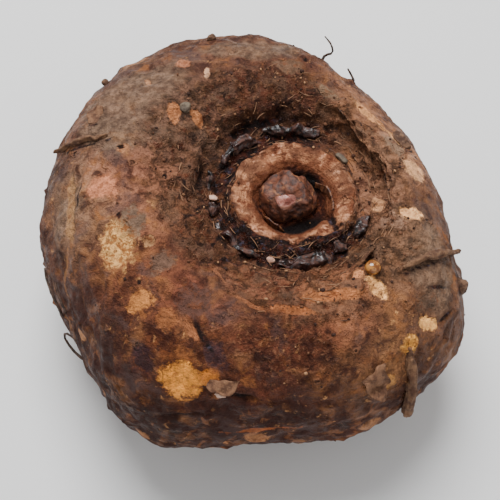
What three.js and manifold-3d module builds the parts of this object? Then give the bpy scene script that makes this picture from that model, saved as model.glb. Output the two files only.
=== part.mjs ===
// Elephant foot yam: one dormant corm of Amorphophallus paeoniifolius, as lifted from the ground.
// The corm is a squat round body with a wide crater on top. In the crater stand the ring scar of the
// last leaf stalk, the black remains of its sheath, and next season's bud under its scales. Stumps of
// roots, hair roots, cormels and curls of loose skin are on the flanks, and a few crumbs of pale flesh
// and stone lie on the skin.
// Millimetres, +Z up. The corm lies on its flattened root side; the origin is the middle of the
// bounding box's footprint, in the resting plane. Seen from the front, -Y is near and +X is right.

import * as THREE from "three";
import { mergeVertices } from "three/addons/utils/BufferGeometryUtils.js";
import Module from "manifold-3d";

const wasm = await Module();
wasm.setup();

// ---------- Driving dimensions ----------

const GAP = 0.3; // clearance between pieces that grow on or lie against each other
const MEAN_GIRTH = 116; // nominal radius at the widest level
const GIRTH_Z = 60; // height of the widest level
const CREST_RADIUS = 76; // nominal radius of the shoulder's highest line, round the crater
const CRATER_RADIUS = 44; // the crater's foot, where the shoulder begins to rise
const CRATER = new THREE.Vector2(22, 5); // the crater's axis, off the body's middle

// Radius at the widest level, and how far the crest stands in from CREST_RADIUS, every 30 degrees
// from +X towards +Y.
const GIRTH = [107, 104, 113, 127, 129, 119, 112, 107, 118, 108, 118, 122];
const CREST_IN = [22, 23, 17, 8, 1, -3, -4, -2, 1, 4, 9, 16];
const CREST_FALL = 0.28; // how far the crest sinks for each millimetre that it stands in

// Half section of the body, from the crater's floor to the middle of the base: radius and height.
const SECTION = [
  [0, 94], [8, 94], [13.5, 95.5], [17, 100], [18.8, 104.5], [21, 107.2], [25, 109.4], [29, 111.2],
  [31.5, 111.4], [33.4, 109], [35.5, 106.8], [39, 106.5], [43, 109.5], [49, 114.5], [57, 120],
  [66, 124.5], [76, 126.5],
  [87, 124], [97, 117], [106, 105], [112, 90], [115.5, 74], [116, 58], [112, 41], [104, 26], [92, 13],
  [77, 4], [62, 0], [44, 0], [22, 0], [0, 0],
];

// Low swellings of the flank: count round the body, slant in millimetres of height per radian,
// phase, and height in millimetres.
const SWELLINGS = [
  [5, 19, 0.6, 0.8],
  [8, -14, 2.1, 0.56],
  [3, 11, 4, 0.4],
];
const SWELLING_FOOT = 30; // the swellings die out below this height, towards the flat base

const TURNS = 64; // facets round the body
const ROWS = 44; // facets from crater to base, closest where the section's points are closest

// The bud is a dome on the crater's floor: middle and half sizes, in crater coordinates (the origin on
// the crater's axis, heights from the resting plane), and the tip that leans out of it to the front.
const BUD = { at: [-2.5, 6.5, 97.2], half: [14, 12.5, 12.6], tip: [-3, 1.5, 104.5], tipHalf: [5.4, 4, 4] };

// Thin walls that stand round the crater's axis: from and to in degrees, middle radius at either end,
// foot and top height, greatest thickness, how far the top leans out, and how ragged the top is.
const SCALES = {
  bud_scale_left: [202, 254, 16.2, 15.8, 94, 105.5, 1.6, 0.4, 0.5],
  bud_scale_right: [-42, 44, 22.5, 16.2, 95, 109, 1.7, 0.8, 0.9],
};
const SHEATHS = {
  sheath_remnant_bottom: [258, 300, 37.8, 37.8, 104, 111, 7, 1, 0.8],
  sheath_remnant_lower_right: [303, 313, 36.2, 36.4, 104, 111.5, 4.4, 0.6, 0.8],
  sheath_remnant_lower_left: [202, 242, 40, 38.8, 104.5, 111.5, 2.4, 1, 1],
  sheath_remnant_left_lower: [184, 195, 41, 40.6, 106, 112.5, 3, 1.2, 0.8],
  sheath_remnant_left_upper: [161, 175, 42.6, 42, 106, 113, 3.4, 1.4, 1],
  sheath_remnant_upper_left: [117, 150, 40, 42, 104, 113, 4.4, 0.8, 1.4],
  sheath_remnant_top: [70, 111, 40.6, 40.6, 104.5, 113, 2.4, 1.4, 1.2],
  sheath_remnant_right: [325, 341, 38.4, 38.4, 104, 111.5, 4, 1.2, 1],
};

// Roots and hair roots. Each line is one point of the root: direction in degrees, share of the way
// from the crater's floor to the middle of the base, lift of the root's middle off the skin, radius.
const ROOTS = {
  root_left: [
    [161.5, 0.308, 1, 1.3], [162, 0.325, 1.5, 1.9], [162, 0.345, 1.7, 2.1], [162.3, 0.365, 2.1, 2],
    [162.6, 0.385, 3.2, 1.6], [163, 0.4, 4.8, 0.9],
  ],
  root_right: [
    [325, 0.319, 1.2, 1.9], [331, 0.33, 1.8, 2.5], [337, 0.348, 2.2, 2.8], [342, 0.375, 2.6, 2.7],
    [346, 0.405, 3.2, 2.4], [348.5, 0.425, 4, 1.9],
  ],
  root_lower: [
    [313, 0.393, 0.8, 2.2], [312.5, 0.42, 1.4, 3], [311.5, 0.45, 1.8, 3.4], [310.5, 0.485, 2.4, 3.6],
    [309.8, 0.52, 3, 3.4], [309.5, 0.545, 4, 2.8],
  ],
};
const HAIRS = {
  hair_root_top: [
    [68, 0.372, 1.1, 0.8], [67.5, 0.375, 4.5, 0.7], [65.5, 0.37, 8, 0.6], [66.5, 0.365, 11.5, 0.55],
    [69.5, 0.36, 14.5, 0.4],
  ],
  hair_root_top_small: [[55, 0.386, 1, 0.7], [57, 0.385, 3, 0.6], [59, 0.38, 5, 0.45]],
  hair_root_left_long: [
    [206, 0.5, 1.1, 0.7], [203, 0.49, 2.2, 0.7], [199, 0.482, 3, 0.65], [195, 0.477, 3.4, 0.6],
    [192, 0.472, 2.6, 0.5],
  ],
  hair_root_left_short: [[207, 0.478, 1.1, 0.7], [202, 0.47, 1.8, 0.6], [198, 0.463, 1.2, 0.5]],
  hair_root_loop: [
    [219, 0.51, 1.1, 0.7], [215, 0.515, 3.4, 0.7], [211, 0.505, 5, 0.6], [212, 0.487, 4.4, 0.6],
    [216, 0.478, 2.2, 0.5],
  ],
};

// Lumps that sit on the skin: direction, share of the way, lift of the middle, and half sizes along
// the skin sideways, along the skin downwards, and out of the skin.
const CORMELS = {
  cormel_right: [341, 0.45, 0.4, 4.2, 4.2, 3.8],
  cormel_upper_right: [26, 0.372, -1, 6.2, 6, 4.6],
  root_nub_upper_left: [136, 0.395, 0.5, 1.9, 2.1, 2.2],
  root_nub_top: [104, 0.365, 0.6, 2.2, 1.8, 2],
};
const STONES = {
  stone_grey: [140, 0.255, 0.7, 2.8, 2.6, 1.8],
  stone_chip: [41, 0.128, 1.6, 3.8, 2.2, 1.5],
};
const FLESH_CHIPS = {
  flesh_chip_left: [179.6, 0.16, 1.2, 1.9, 1.8, 2],
  flesh_chip_lower: [252, 0.147, 1.2, 1.6, 1.8, 1.5],
  flesh_chip_front: [261.5, 0.405, 1, 2.6, 1.5, 1.1],
};
const SAP_BEAD = [312, 0.281, 1.6, 3.4, 3.4, 2.6];

// Curls of loose skin: from and to in degrees, from and to along the way down, lift where the curl
// leaves the skin and at its free edge, and thickness.
const CURLS = {
  skin_curl_right: [306, 317, 0.232, 0.256, 0.7, 4.6, 0.7],
  skin_curl_lower: [299.5, 306, 0.395, 0.445, 0.8, 3.4, 0.8],
  skin_curl_front: [257.5, 264.5, 0.377, 0.396, 0.7, 2.4, 0.6],
  skin_curl_upper_left: [149, 155, 0.337, 0.352, 0.7, 2.4, 0.7],
};

const ROD_SIDES = 8;
const ROD_STEPS = 2; // rings per length between two of a root's points
const WALL_STEPS = 8;
const LUMP_DETAIL = 2;
const CURL_STEPS = 5;
const CAP_SHOULDER = 0.3; // share of a rod's rounded end where its narrower ring lies
const WALL_END = 0.03; // share of a wall's length at which its end is closed
const WALL_END_HEIGHT = 0.45; // least height of a wall, as a share of its full height
const TORN_EDGE = 17; // how quickly a wall's torn edge rises and falls along its length
const CURL_END = 0.15; // share of a half turn at which the arch of a curl starts and stops

// Slow waves over a lump of unit size, and how far they move its surface.
const LUMP_WAVES = [new THREE.Vector3(3.1, 2.3, 0), new THREE.Vector3(0, -3.7, 4.3)];
const UNEVEN = { cormel: 0.05, stone: 0.08, flesh: 0.08, sap: 0.02, bud: 0.03, tip: 0.02 };

// ---------- Helpers ----------

const radians = (degrees) => (degrees * Math.PI) / 180;

// Smooth step from 0 at a to 1 at b.
function ease(a, b, value) {
  const t = Math.min(1, Math.max(0, (value - a) / (b - a)));
  return t * t * (3 - 2 * t);
}

// A closed mesh as a manifold-3d solid, and back.
function solid(geometry) {
  const bare = geometry.clone();
  bare.deleteAttribute("normal");
  bare.deleteAttribute("uv");
  const merged = mergeVertices(bare, 1e-3);
  return new wasm.Manifold(
    new wasm.Mesh({
      numProp: 3,
      vertProperties: new Float32Array(merged.attributes.position.array),
      triVerts: new Uint32Array(merged.index.array),
    }),
  );
}

function geometryOf(manifold) {
  const mesh = manifold.getMesh();
  return new THREE.BufferGeometry()
    .setAttribute("position", new THREE.BufferAttribute(mesh.vertProperties, 3))
    .setIndex(new THREE.BufferAttribute(mesh.triVerts, 1));
}

// The middle of a ring of points.
function middleOf(points) {
  return points.reduce((sum, p) => sum.add(p), new THREE.Vector3()).divideScalar(points.length);
}

// A closed skin over a stack of rings with the same number of points, capped by a point at each end.
function loft(rings, first, last) {
  const sides = rings[0].length;
  const points = [first, ...rings.flat(), last];
  const index = [];
  for (let i = 0; i < sides; i++) {
    const next = (i + 1) % sides;
    index.push(0, 1 + next, 1 + i);
    for (let row = 0; row < rings.length - 1; row++) {
      const here = 1 + row * sides;
      const above = here + sides;
      index.push(here + i, here + next, above + next);
      index.push(here + i, above + next, above + i);
    }
    const end = 1 + (rings.length - 1) * sides;
    index.push(end + i, end + next, points.length - 1);
  }
  return new THREE.BufferGeometry().setFromPoints(points).setIndex(index);
}

// ---------- The body's surface ----------

const sectionCurve = new THREE.SplineCurve(SECTION.map(([r, z]) => new THREE.Vector2(r, z)));

// The value in a direction of a smooth closed curve through values at equal steps round the body.
function around(values, angle) {
  const curve = new THREE.CatmullRomCurve3(values.map((v, i) => new THREE.Vector3(v, i, 0)), true);
  const turn = angle / (2 * Math.PI);
  return curve.getPoint(turn - Math.floor(turn)).x;
}

// Moves a point of the plain turned section to its place on the body.
function grow(radius, angle, z) {
  const upper = z > GIRTH_Z;
  const out = upper ? ease(CREST_RADIUS, MEAN_GIRTH, radius) : ease(CRATER.x, MEAN_GIRTH, radius);
  const rise = ease(CRATER_RADIUS, CREST_RADIUS, radius);
  const flank = ease(0, SWELLING_FOOT, z) * ease(CRATER_RADIUS, CREST_RADIUS, radius);
  const swelling = SWELLINGS.reduce(
    (sum, [count, slant, phase, height]) => sum + height * Math.sin(count * angle + z / slant + phase),
    0,
  );
  const crestIn = upper ? around(CREST_IN, angle) : 0;
  const r = radius + out * (around(GIRTH, angle) - MEAN_GIRTH) - (rise - out) * crestIn + flank * swelling;
  const shift = upper ? 1 - ease(CREST_RADIUS - CRATER.x, MEAN_GIRTH, radius) : 0;
  return new THREE.Vector3(
    CRATER.x * shift + r * Math.cos(angle),
    CRATER.y * shift + r * Math.sin(angle),
    Math.max(0, z - CREST_FALL * crestIn * rise * (1 - out)),
  );
}

// A point of the section in a direction, lifted off the skin by so many millimetres.
function lifted(at, tangent, degrees, lift) {
  const angle = radians(degrees);
  const outwards = new THREE.Vector3(-tangent.y * Math.cos(angle), -tangent.y * Math.sin(angle), tangent.x);
  return grow(at.x, angle, at.y).addScaledVector(outwards, lift);
}

// A point over the skin: direction in degrees, and share of the section's length from the crater's
// floor (0) to the middle of the base (1).
function skinPoint(degrees, share, lift) {
  return lifted(sectionCurve.getPointAt(share), sectionCurve.getTangentAt(share), degrees, lift);
}

// The body, grown outwards by so many millimetres.
function bodyGeometry(outset) {
  const atRow = (row, degrees) => {
    const t = row / ROWS;
    return lifted(sectionCurve.getPoint(t), sectionCurve.getTangent(t), degrees, outset);
  };
  const rings = [];
  for (let row = ROWS - 1; row > 0; row--) {
    rings.push(Array.from({ length: TURNS }, (_, i) => atRow(row, (360 * i) / TURNS)));
  }
  return loft(rings, atRow(ROWS, 0), atRow(0, 0));
}

const clearance = solid(bodyGeometry(GAP));

// Cuts a piece back to the clearance over the body, and keeps what stands outside the body.
function seat(geometry) {
  const pieces = solid(geometry).subtract(clearance).decompose();
  return geometryOf(pieces.reduce((best, piece) => (piece.volume() > best.volume() ? piece : best)));
}

// ---------- Builders ----------

// A round-ended rod along points on the skin, each with its own radius.
function rod(line) {
  const points = line.map(([degrees, share, lift]) => skinPoint(degrees, share, lift));
  const curve = new THREE.CatmullRomCurve3(points);
  const length = curve.getLength();
  const firstCap = line[0][3] / length;
  const lastCap = line.at(-1)[3] / length;
  const count = (line.length - 1) * ROD_STEPS;
  const stations = [CAP_SHOULDER * firstCap];
  for (let i = 0; i <= count; i++) {
    stations.push(firstCap + ((1 - firstCap - lastCap) * i) / count);
  }
  stations.push(1 - CAP_SHOULDER * lastCap);
  let up = points[0].clone().setZ(0);
  const rings = stations.map((station) => {
    const tangent = curve.getTangentAt(station);
    up = up.addScaledVector(tangent, -up.dot(tangent)).normalize();
    const side = tangent.clone().cross(up);
    const place = curve.getUtoTmapping(station) * (line.length - 1);
    const before = Math.min(Math.floor(place), line.length - 2);
    const radius = THREE.MathUtils.lerp(line[before][3], line[before + 1][3], place - before);
    const cap = Math.min(1, station / firstCap, (1 - station) / lastCap);
    const round = radius * Math.sqrt(1 - (1 - cap) ** 2);
    const at = curve.getPointAt(station);
    return Array.from({ length: ROD_SIDES }, (_, i) => {
      const turn = (2 * Math.PI * i) / ROD_SIDES;
      return at.clone()
        .addScaledVector(up, round * Math.cos(turn))
        .addScaledVector(side, -round * Math.sin(turn));
    });
  });
  return loft(rings.reverse(), curve.getPointAt(1), curve.getPointAt(0));
}

// A thin ragged wall that stands round the crater's axis and thins out towards both ends.
function wall([from, to, firstRadius, lastRadius, foot, top, thickness, lean, ragged]) {
  const ring = (i) => {
    const share = i / WALL_STEPS;
    const angle = radians(from + (to - from) * share);
    const radius = THREE.MathUtils.lerp(firstRadius, lastRadius, share);
    const body = Math.sqrt(Math.sin(Math.PI * THREE.MathUtils.clamp(share, WALL_END, 1 - WALL_END)));
    const half = (thickness / 2) * body;
    const full = THREE.MathUtils.lerp(WALL_END_HEIGHT, 1, body);
    const height = foot + (top - foot) * full + ragged * Math.sin(share * TORN_EDGE + from);
    const middle = (foot + height) / 2;
    return [
      [radius - half, foot],
      [radius + half, foot],
      [radius + half + lean / 2, middle],
      [radius + half / 2 + lean, height],
      [radius - half / 2 + lean, height],
      [radius - half + lean / 2, middle],
    ].map(([r, z]) => new THREE.Vector3(CRATER.x + r * Math.cos(angle), CRATER.y + r * Math.sin(angle), z));
  };
  const rings = Array.from({ length: WALL_STEPS + 1 }, (_, i) => ring(WALL_STEPS - i));
  return loft(rings, middleOf(rings[0]), middleOf(rings[WALL_STEPS]));
}

// An uneven rounded lump; the third axis of its frame points out of the skin.
function lump(centre, half, frame, unevenness) {
  const geometry = new THREE.IcosahedronGeometry(1, LUMP_DETAIL);
  const position = geometry.attributes.position;
  for (let i = 0; i < position.count; i++) {
    const p = new THREE.Vector3().fromBufferAttribute(position, i);
    const waves = Math.sin(LUMP_WAVES[0].dot(p) + centre.x) + Math.sin(LUMP_WAVES[1].dot(p));
    p.multiplyScalar(1 + unevenness * waves).multiply(half).applyMatrix4(frame).add(centre);
    position.setXYZ(i, p.x, p.y, p.z);
  }
  return geometry;
}

// A lump seated on the skin; its outward direction is the skin's own.
function lumpOnSkin([degrees, share, lift, across, along, out], unevenness) {
  const centre = skinPoint(degrees, share, lift);
  const outwards = skinPoint(degrees, share, lift + 1).sub(centre).normalize();
  const sideways = new THREE.Vector3(-Math.sin(radians(degrees)), Math.cos(radians(degrees)), 0);
  const frame = new THREE.Matrix4().makeBasis(sideways, outwards.clone().cross(sideways), outwards);
  return lump(centre, new THREE.Vector3(across, along, out), frame, unevenness);
}

// A thin flake over the skin that curls up towards its lower edge.
function curl([from, to, fromShare, toShare, low, high, thickness]) {
  const ring = (i) => {
    const across = i / CURL_STEPS;
    const bulge = Math.sin(Math.PI * THREE.MathUtils.lerp(CURL_END, 1 - CURL_END, across));
    const lower = [];
    const upper = [];
    for (let j = 0; j <= CURL_STEPS; j++) {
      const down = j / CURL_STEPS;
      const degrees = from + (to - from) * across;
      const share = fromShare + (toShare - fromShare) * down * bulge;
      const lift = low + (high - low) * down * down * bulge;
      lower.push(skinPoint(degrees, share, lift));
      upper.push(skinPoint(degrees, share, lift + thickness));
    }
    return [...lower, ...upper.reverse()];
  };
  const rings = Array.from({ length: CURL_STEPS + 1 }, (_, i) => ring(CURL_STEPS - i));
  return loft(rings, middleOf(rings[0]), middleOf(rings[CURL_STEPS]));
}

// ---------- Assembly ----------

const group = new THREE.Group();

function add(name, geometry, color, roughness) {
  const mesh = new THREE.Mesh(geometry, new THREE.MeshStandardMaterial({ color, roughness, metalness: 0 }));
  mesh.name = name;
  group.add(mesh);
}

add("corm", bodyGeometry(0), 0x6b4a38, 0.85);

const inCrater = ([x, y, z]) => new THREE.Vector3(CRATER.x + x, CRATER.y + y, z);
const upright = new THREE.Matrix4();
const dome = solid(lump(inCrater(BUD.at), new THREE.Vector3(...BUD.half), upright, UNEVEN.bud));
const tip = solid(lump(inCrater(BUD.tip), new THREE.Vector3(...BUD.tipHalf), upright, UNEVEN.tip));
add("apical_bud", seat(geometryOf(dome.add(tip))), 0x663b2b, 0.55);

for (const [name, size] of Object.entries(SCALES)) {
  add(name, seat(wall(size)), 0x8a5a3c, 0.7);
}
for (const [name, size] of Object.entries(SHEATHS)) {
  add(name, seat(wall(size)), 0x201515, 0.35);
}
for (const [name, line] of Object.entries(ROOTS)) {
  add(name, seat(rod(line)), 0x65483a, 0.85);
}
for (const [name, line] of Object.entries(HAIRS)) {
  add(name, rod(line), 0x3a2a22, 0.8);
}
for (const [name, size] of Object.entries(CORMELS)) {
  add(name, seat(lumpOnSkin(size, UNEVEN.cormel)), 0x735d4e, 0.85);
}
for (const [name, size] of Object.entries(STONES)) {
  add(name, seat(lumpOnSkin(size, UNEVEN.stone)), 0x8f877c, 0.8);
}
for (const [name, size] of Object.entries(FLESH_CHIPS)) {
  add(name, seat(lumpOnSkin(size, UNEVEN.flesh)), 0xd9b7a6, 0.6);
}
add("sap_bead", seat(lumpOnSkin(SAP_BEAD, UNEVEN.sap)), 0x9a5f24, 0.25);
for (const [name, size] of Object.entries(CURLS)) {
  add(name, curl(size), 0x8a6148, 0.8);
}

const middle = new THREE.Box3().setFromObject(group).getCenter(new THREE.Vector3());
for (const mesh of group.children) {
  mesh.geometry.translate(-middle.x, -middle.y, 0);
}

export default group;
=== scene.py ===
import math
import random

import bmesh
import bpy
import numpy as np
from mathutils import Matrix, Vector
from mathutils.kdtree import KDTree


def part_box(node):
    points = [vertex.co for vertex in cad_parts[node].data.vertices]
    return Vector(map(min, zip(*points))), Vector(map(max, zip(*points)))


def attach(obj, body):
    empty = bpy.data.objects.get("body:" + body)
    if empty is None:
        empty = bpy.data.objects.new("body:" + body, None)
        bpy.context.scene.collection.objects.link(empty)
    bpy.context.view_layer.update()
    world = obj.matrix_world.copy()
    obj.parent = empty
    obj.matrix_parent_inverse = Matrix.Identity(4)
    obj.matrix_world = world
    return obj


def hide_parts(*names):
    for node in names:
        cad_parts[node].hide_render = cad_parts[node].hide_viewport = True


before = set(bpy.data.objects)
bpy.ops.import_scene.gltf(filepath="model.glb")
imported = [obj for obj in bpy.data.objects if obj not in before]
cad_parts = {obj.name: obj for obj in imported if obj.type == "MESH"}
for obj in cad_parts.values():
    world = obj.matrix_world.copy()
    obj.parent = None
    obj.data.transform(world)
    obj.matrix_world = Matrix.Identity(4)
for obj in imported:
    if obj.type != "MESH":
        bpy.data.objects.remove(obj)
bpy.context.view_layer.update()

# ---------------------------------------------------------------------------------------------
# The corm. One solid lump of starchy flesh under a thin corky skin, swollen sideways round the
# crater where the leaf stalk stood. It grew as a single piece and is never taken apart.
# ---------------------------------------------------------------------------------------------

GIRTH = [107, 104, 113, 127, 129, 119, 112, 107, 118, 108, 118, 122]  # mm, every 30 degrees
CREST_IN = [22, 23, 17, 8, 1, -3, -4, -2, 1, 4, 9, 16]
SECTION = np.array([
    (0, 94), (8, 94), (13.5, 95.5), (17, 100), (18.8, 104.5), (21, 107.2), (25, 109.4), (29, 111.2),
    (31.5, 111.4), (33.4, 109), (35.5, 106.8), (39, 106.5), (43, 109.5), (49, 114.5), (57, 120),
    (66, 124.5), (76, 126.5), (87, 124), (97, 117), (106, 105), (112, 90), (115.5, 74), (116, 58),
    (112, 41), (104, 26), (92, 13), (77, 4), (62, 0), (44, 0), (22, 0), (0, 0),
], float)
CRATER = np.array([22.0, 5.0])
TURNS = 400
ROW_BANDS = [(0.0, 0.2, 78), (0.2, 0.45, 72), (0.45, 0.75, 60), (0.75, 1.0, 32)]


def ease(a, b, x):
    t = np.clip((x - a) / (b - a), 0, 1)
    return t * t * (3 - 2 * t)


def section_at(t):
    """Smooth curve through the half section, t from 0 to 1."""
    n = len(SECTION) - 1
    place = np.clip(t, 0, 1) * n
    i = np.minimum(place.astype(int), n - 1)
    w = (place - i)[:, None]
    p0, p1 = SECTION[np.maximum(i - 1, 0)], SECTION[i]
    p2, p3 = SECTION[i + 1], SECTION[np.minimum(i + 2, n)]
    a, b = (p2 - p0) / 2, (p3 - p1) / 2
    return (2 * p1 - 2 * p2 + a + b) * w**3 + (-3 * p1 + 3 * p2 - 2 * a - b) * w**2 + a * w + p1


def around(values, angles):
    """Smooth closed curve through values at equal steps round the body."""
    n = len(values)
    place = (angles / (2 * math.pi) % 1) * n
    i = place.astype(int) % n
    w = place - np.floor(place)
    points = np.array([(v, k) for k, v in enumerate(values)], float)
    p = [points[(i + k) % n] for k in (-1, 0, 1, 2)]
    d = [np.sqrt(np.linalg.norm(p[k + 1] - p[k], axis=1)) for k in range(3)]
    x = [q[:, 0] for q in p]
    m1 = ((x[1] - x[0]) / d[0] - (x[2] - x[0]) / (d[0] + d[1]) + (x[2] - x[1]) / d[1]) * d[1]
    m2 = ((x[2] - x[1]) / d[1] - (x[3] - x[1]) / (d[1] + d[2]) + (x[3] - x[2]) / d[2]) * d[1]
    cubic = (2 * x[1] - 2 * x[2] + m1 + m2) * w**3
    return cubic + (-3 * x[1] + 3 * x[2] - 2 * m1 - m2) * w**2 + m1 * w + x[1]


SCATTER = np.array([374761393, 668265263, 2147483647])  # large odd numbers that mix a cell's place
SCATTER_AGAIN = 1274126177
SEED_STEP = 97
WORD = 0xFFFFFFFF


def grain(p, size, seed=0):
    """Smooth random field from -1 to 1, with lumps about size millimetres across."""
    q = p / size + seed * 17.31
    i = np.floor(q).astype(np.int64)
    f = q - i
    u = f * f * f * (f * (f * 6 - 15) + 10)
    total = np.zeros(q.shape[:-1])
    for corner in range(8):
        c = np.array([corner & 1, corner >> 1 & 1, corner >> 2 & 1])
        k = i + c
        h = ((k * SCATTER).sum(-1) + seed * SEED_STEP) & WORD
        h = ((h ^ h >> 13) * SCATTER_AGAIN) & WORD
        h = h ^ h >> 16
        g = np.stack([(h >> s & 1023) / 511.5 - 1 for s in (0, 10, 20)], -1)
        weight = np.prod(np.where(c == 1, u, 1 - u), -1)
        total += weight * np.sum(g * (f - c), -1)
    return np.clip(total * 1.4, -1, 1)


def lumps(p, *layers):
    """Random fields added up; each layer gives its lump size, its height in mm and its seed."""
    return sum(amount * grain(p, size, seed) for size, amount, seed in layers)


def creases(p, size, seed):
    """Sharp narrow ridges, 0.3 high, between broad hollows."""
    return 0.3 - np.abs(grain(p, size, seed))


MID_GIRTH = 116  # mm from the axis, as all the distances below
CREST_START = 76
SLOPE_START = 54
COLLAR_WALL = 44
FOOT_START = 22
UPPER_HALF = 60  # mm above the ground
FOOT_HEIGHT = 30
CREST_DROP = 0.28
SWELLINGS = [(5, 19, 0.6, 0.8), (8, -14, 2.1, 0.56), (3, 11, 4, 0.4)]  # waves round, lean, start, height
shares = np.concatenate([np.linspace(a, b, n, endpoint=False) for a, b, n in ROW_BANDS] + [[1.0]])
fine = section_at(np.linspace(0, 1, 4000))
lengths = np.concatenate([[0], np.cumsum(np.linalg.norm(np.diff(fine, axis=0), axis=1))])
profile = np.stack([np.interp(shares, lengths / lengths[-1], fine[:, k]) for k in (0, 1)], -1)
angles = np.arange(TURNS) * 2 * math.pi / TURNS
R, Z = profile[:, :1], profile[:, 1:]
A = angles[None, :]
girth, crest_in = around(GIRTH, angles)[None, :], around(CREST_IN, angles)[None, :]
upper = Z > UPPER_HALF
out = np.where(upper, ease(CREST_START, MID_GIRTH, R), ease(FOOT_START, MID_GIRTH, R))
rise = ease(COLLAR_WALL, CREST_START, R)
swell = sum(h * np.sin(n * A + Z / lean + start) for n, lean, start, h in SWELLINGS)
inward = np.where(upper, crest_in, 0)
radius = R + out * (girth - MID_GIRTH) - (rise - out) * inward
radius = radius + ease(0, FOOT_HEIGHT, Z) * rise * swell
shift = np.where(upper, 1 - ease(SLOPE_START, MID_GIRTH, R), 0)
height = np.maximum(0, Z - CREST_DROP * inward * rise * (1 - out)) + 0 * A
P = np.stack([radius * np.cos(A), radius * np.sin(A), height], -1)
P[..., :2] += shift[..., None] * CRATER
P[0] = P[0].mean(0)
P[-1] = P[-1].mean(0)
down = np.gradient(P, axis=0)
turn = np.roll(P, -1, 1) - np.roll(P, 1, 1)
N = np.cross(down, turn)
N[0], N[-1] = (0, 0, 1), (0, 0, -1)
N /= np.linalg.norm(N, axis=-1, keepdims=True) + 1e-9

# The crater's own coordinates: distance from its axis, and direction. Its zones, from outside in,
# are the crumbly funnel, the groove of the collar, the ring of the stalk's scar, and the cavity.
rho = np.hypot(P[..., 0] - CRATER[0], P[..., 1] - CRATER[1])
phi = np.degrees(np.arctan2(P[..., 1] - CRATER[1], P[..., 0] - CRATER[0])) % 360
top = ease(0.5, 0.4, shares)[:, None] + 0 * A
FUNNEL_EDGE = [58, 56, 58, 72, 78, 82, 74, 66, 66, 77, 74, 66]  # mm, every 30 degrees
SCAR_EDGE = [31.5, 31, 30.5, 31, 31.5, 31.5, 31, 29.5, 27.5, 26.8, 28, 30.5]
BLACKENED = [0.3, 0.35, 0.5, 0.75, 0.9, 0.75, 0.6, 0.7, 0.9, 1.0, 0.9, 0.6]  # how black the collar is


def round_crater(values):
    """Values given every 30 degrees, read in the direction of each point from the crater's axis."""
    return around(values, np.radians(phi).ravel()).reshape(phi.shape)


from_funnel = rho + lumps(P, (14, 7, 3), (5, 3, 4)) - round_crater(FUNNEL_EDGE)
funnel = top * ease(8, -5, from_funnel) * ease(38, 43, rho)
ragged = rho + lumps(P, (11, 3.0, 22), (4, 1.7, 23))
from_scar = ragged - round_crater(SCAR_EDGE)
ring = top * ease(17.5, 20.5, ragged) * ease(1.2, -1, from_scar)
collar = top * ease(-1, 1.2, from_scar) * ease(COLLAR_WALL, 40, rho + 2.5 * grain(P, 6, 5))
blackened = collar * round_crater(BLACKENED)
cavity = top * ease(21.5, 16.5, ragged)
flank = 1 - top * ease(85, 60, rho)
# The ring's inner slope down into the cavity, where painted shade lies.
slope = top * ease(27, 18.5, rho) * ease(15, 18, rho)
def beside(direction, distance, half_angle, half_width):
    """How near each point is to a patch of the crater, in the crater's own coordinates."""
    turned = (phi - direction + 180) % 360 - 180
    return top * np.exp(-((turned / half_angle) ** 2) - ((rho - distance) / half_width) ** 2)


SPOT_DEPTH = 14  # mm that a mark may reach into or out of the skin


def spot(x, y, z, across, along, tilt=0):
    """Distance from a mark's middle, in units of its own half sizes."""
    middle = np.array([x, y, z], float)
    gap = P - middle
    near = np.unravel_index(np.argmin((gap**2).sum(-1)), rho.shape)
    n = N[near]
    right = np.array([1.0, 0, 0]) - n[0] * n
    right /= np.linalg.norm(right)
    up = np.cross(n, right)
    gap = P - P[near]
    u, v = gap @ right, gap @ up
    c, s = math.cos(math.radians(tilt)), math.sin(math.radians(tilt))
    across_part, along_part = (c * u + s * v) / across, (c * v - s * u) / along
    return np.sqrt(across_part**2 + along_part**2 + (gap @ n / SPOT_DEPTH) ** 2)


# Relief of the skin, in millimetres outwards: broad lumps on the flank, a torn and pleated wall in
# the funnel, a coarse patch on the front shoulder, and fibres that run round the ring.
fibre = np.stack([rho * 1.0, np.radians(phi) * 5.0, 0 * rho], -1)
coarse = ease(1.15, 0.5, spot(16, -84, 120, 34, 24, -10))
curtain = funnel * np.clip(beside(178, 50, 48, 13) + 0.7 * beside(235, 52, 30, 10), 0, 1)
pleats = grain(fibre * np.array([0.22, 1.5, 1]) + 0.3 * grain(P, 9, 93)[..., None], 2.6, 91)
lift = lumps(P, (38, 1.8, 1), (17, 1.9, 2), (6, 1.15, 6), (2.8, 0.35, 7)) + 1.6 * creases(P, 12, 27)
lift *= flank * ease(0, 6, P[..., 2])
lift += funnel * (lumps(P, (14, 3.2, 8), (5, 1.7, 10), (2.4, 0.5, 11)) - 3.4 * np.abs(grain(P, 9, 9)))
lift += curtain * 2.6 * (0.25 - np.abs(pleats))
lift += funnel * 1.3 * creases(fibre * np.array([1, 0.3, 1]), 4.5, 12)
lift += coarse * (lumps(P, (3.4, 0.8, 24), (2, 0.6, 25)) - 0.5 * np.abs(grain(P, 6, 26)))
lift += ring * 0.3 * grain(fibre * np.array([1, 0.25, 1]), 2.6, 13)
lift += ring * lumps(P, (9, 1.6, 14), (3.6, 0.7, 15), (17, 2.2, 92))
lift += ring * 0.9 * np.exp(-(((rho - 30.3) / 1.5) ** 2)) * (0.5 + grain(P, 9, 16))
lift += blackened * 3.2 * creases(fibre * np.array([1, 0.6, 1]), 7, 41)
lift += blackened * 0.8 * creases(P, 3.4, 42)
lift += collar * (lumps(P, (4, 1.1, 17), (2, 0.6, 18)) - 0.5)
lift += cavity * lumps(P, (5, 0.6, 19), (2, 0.35, 20))
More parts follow.
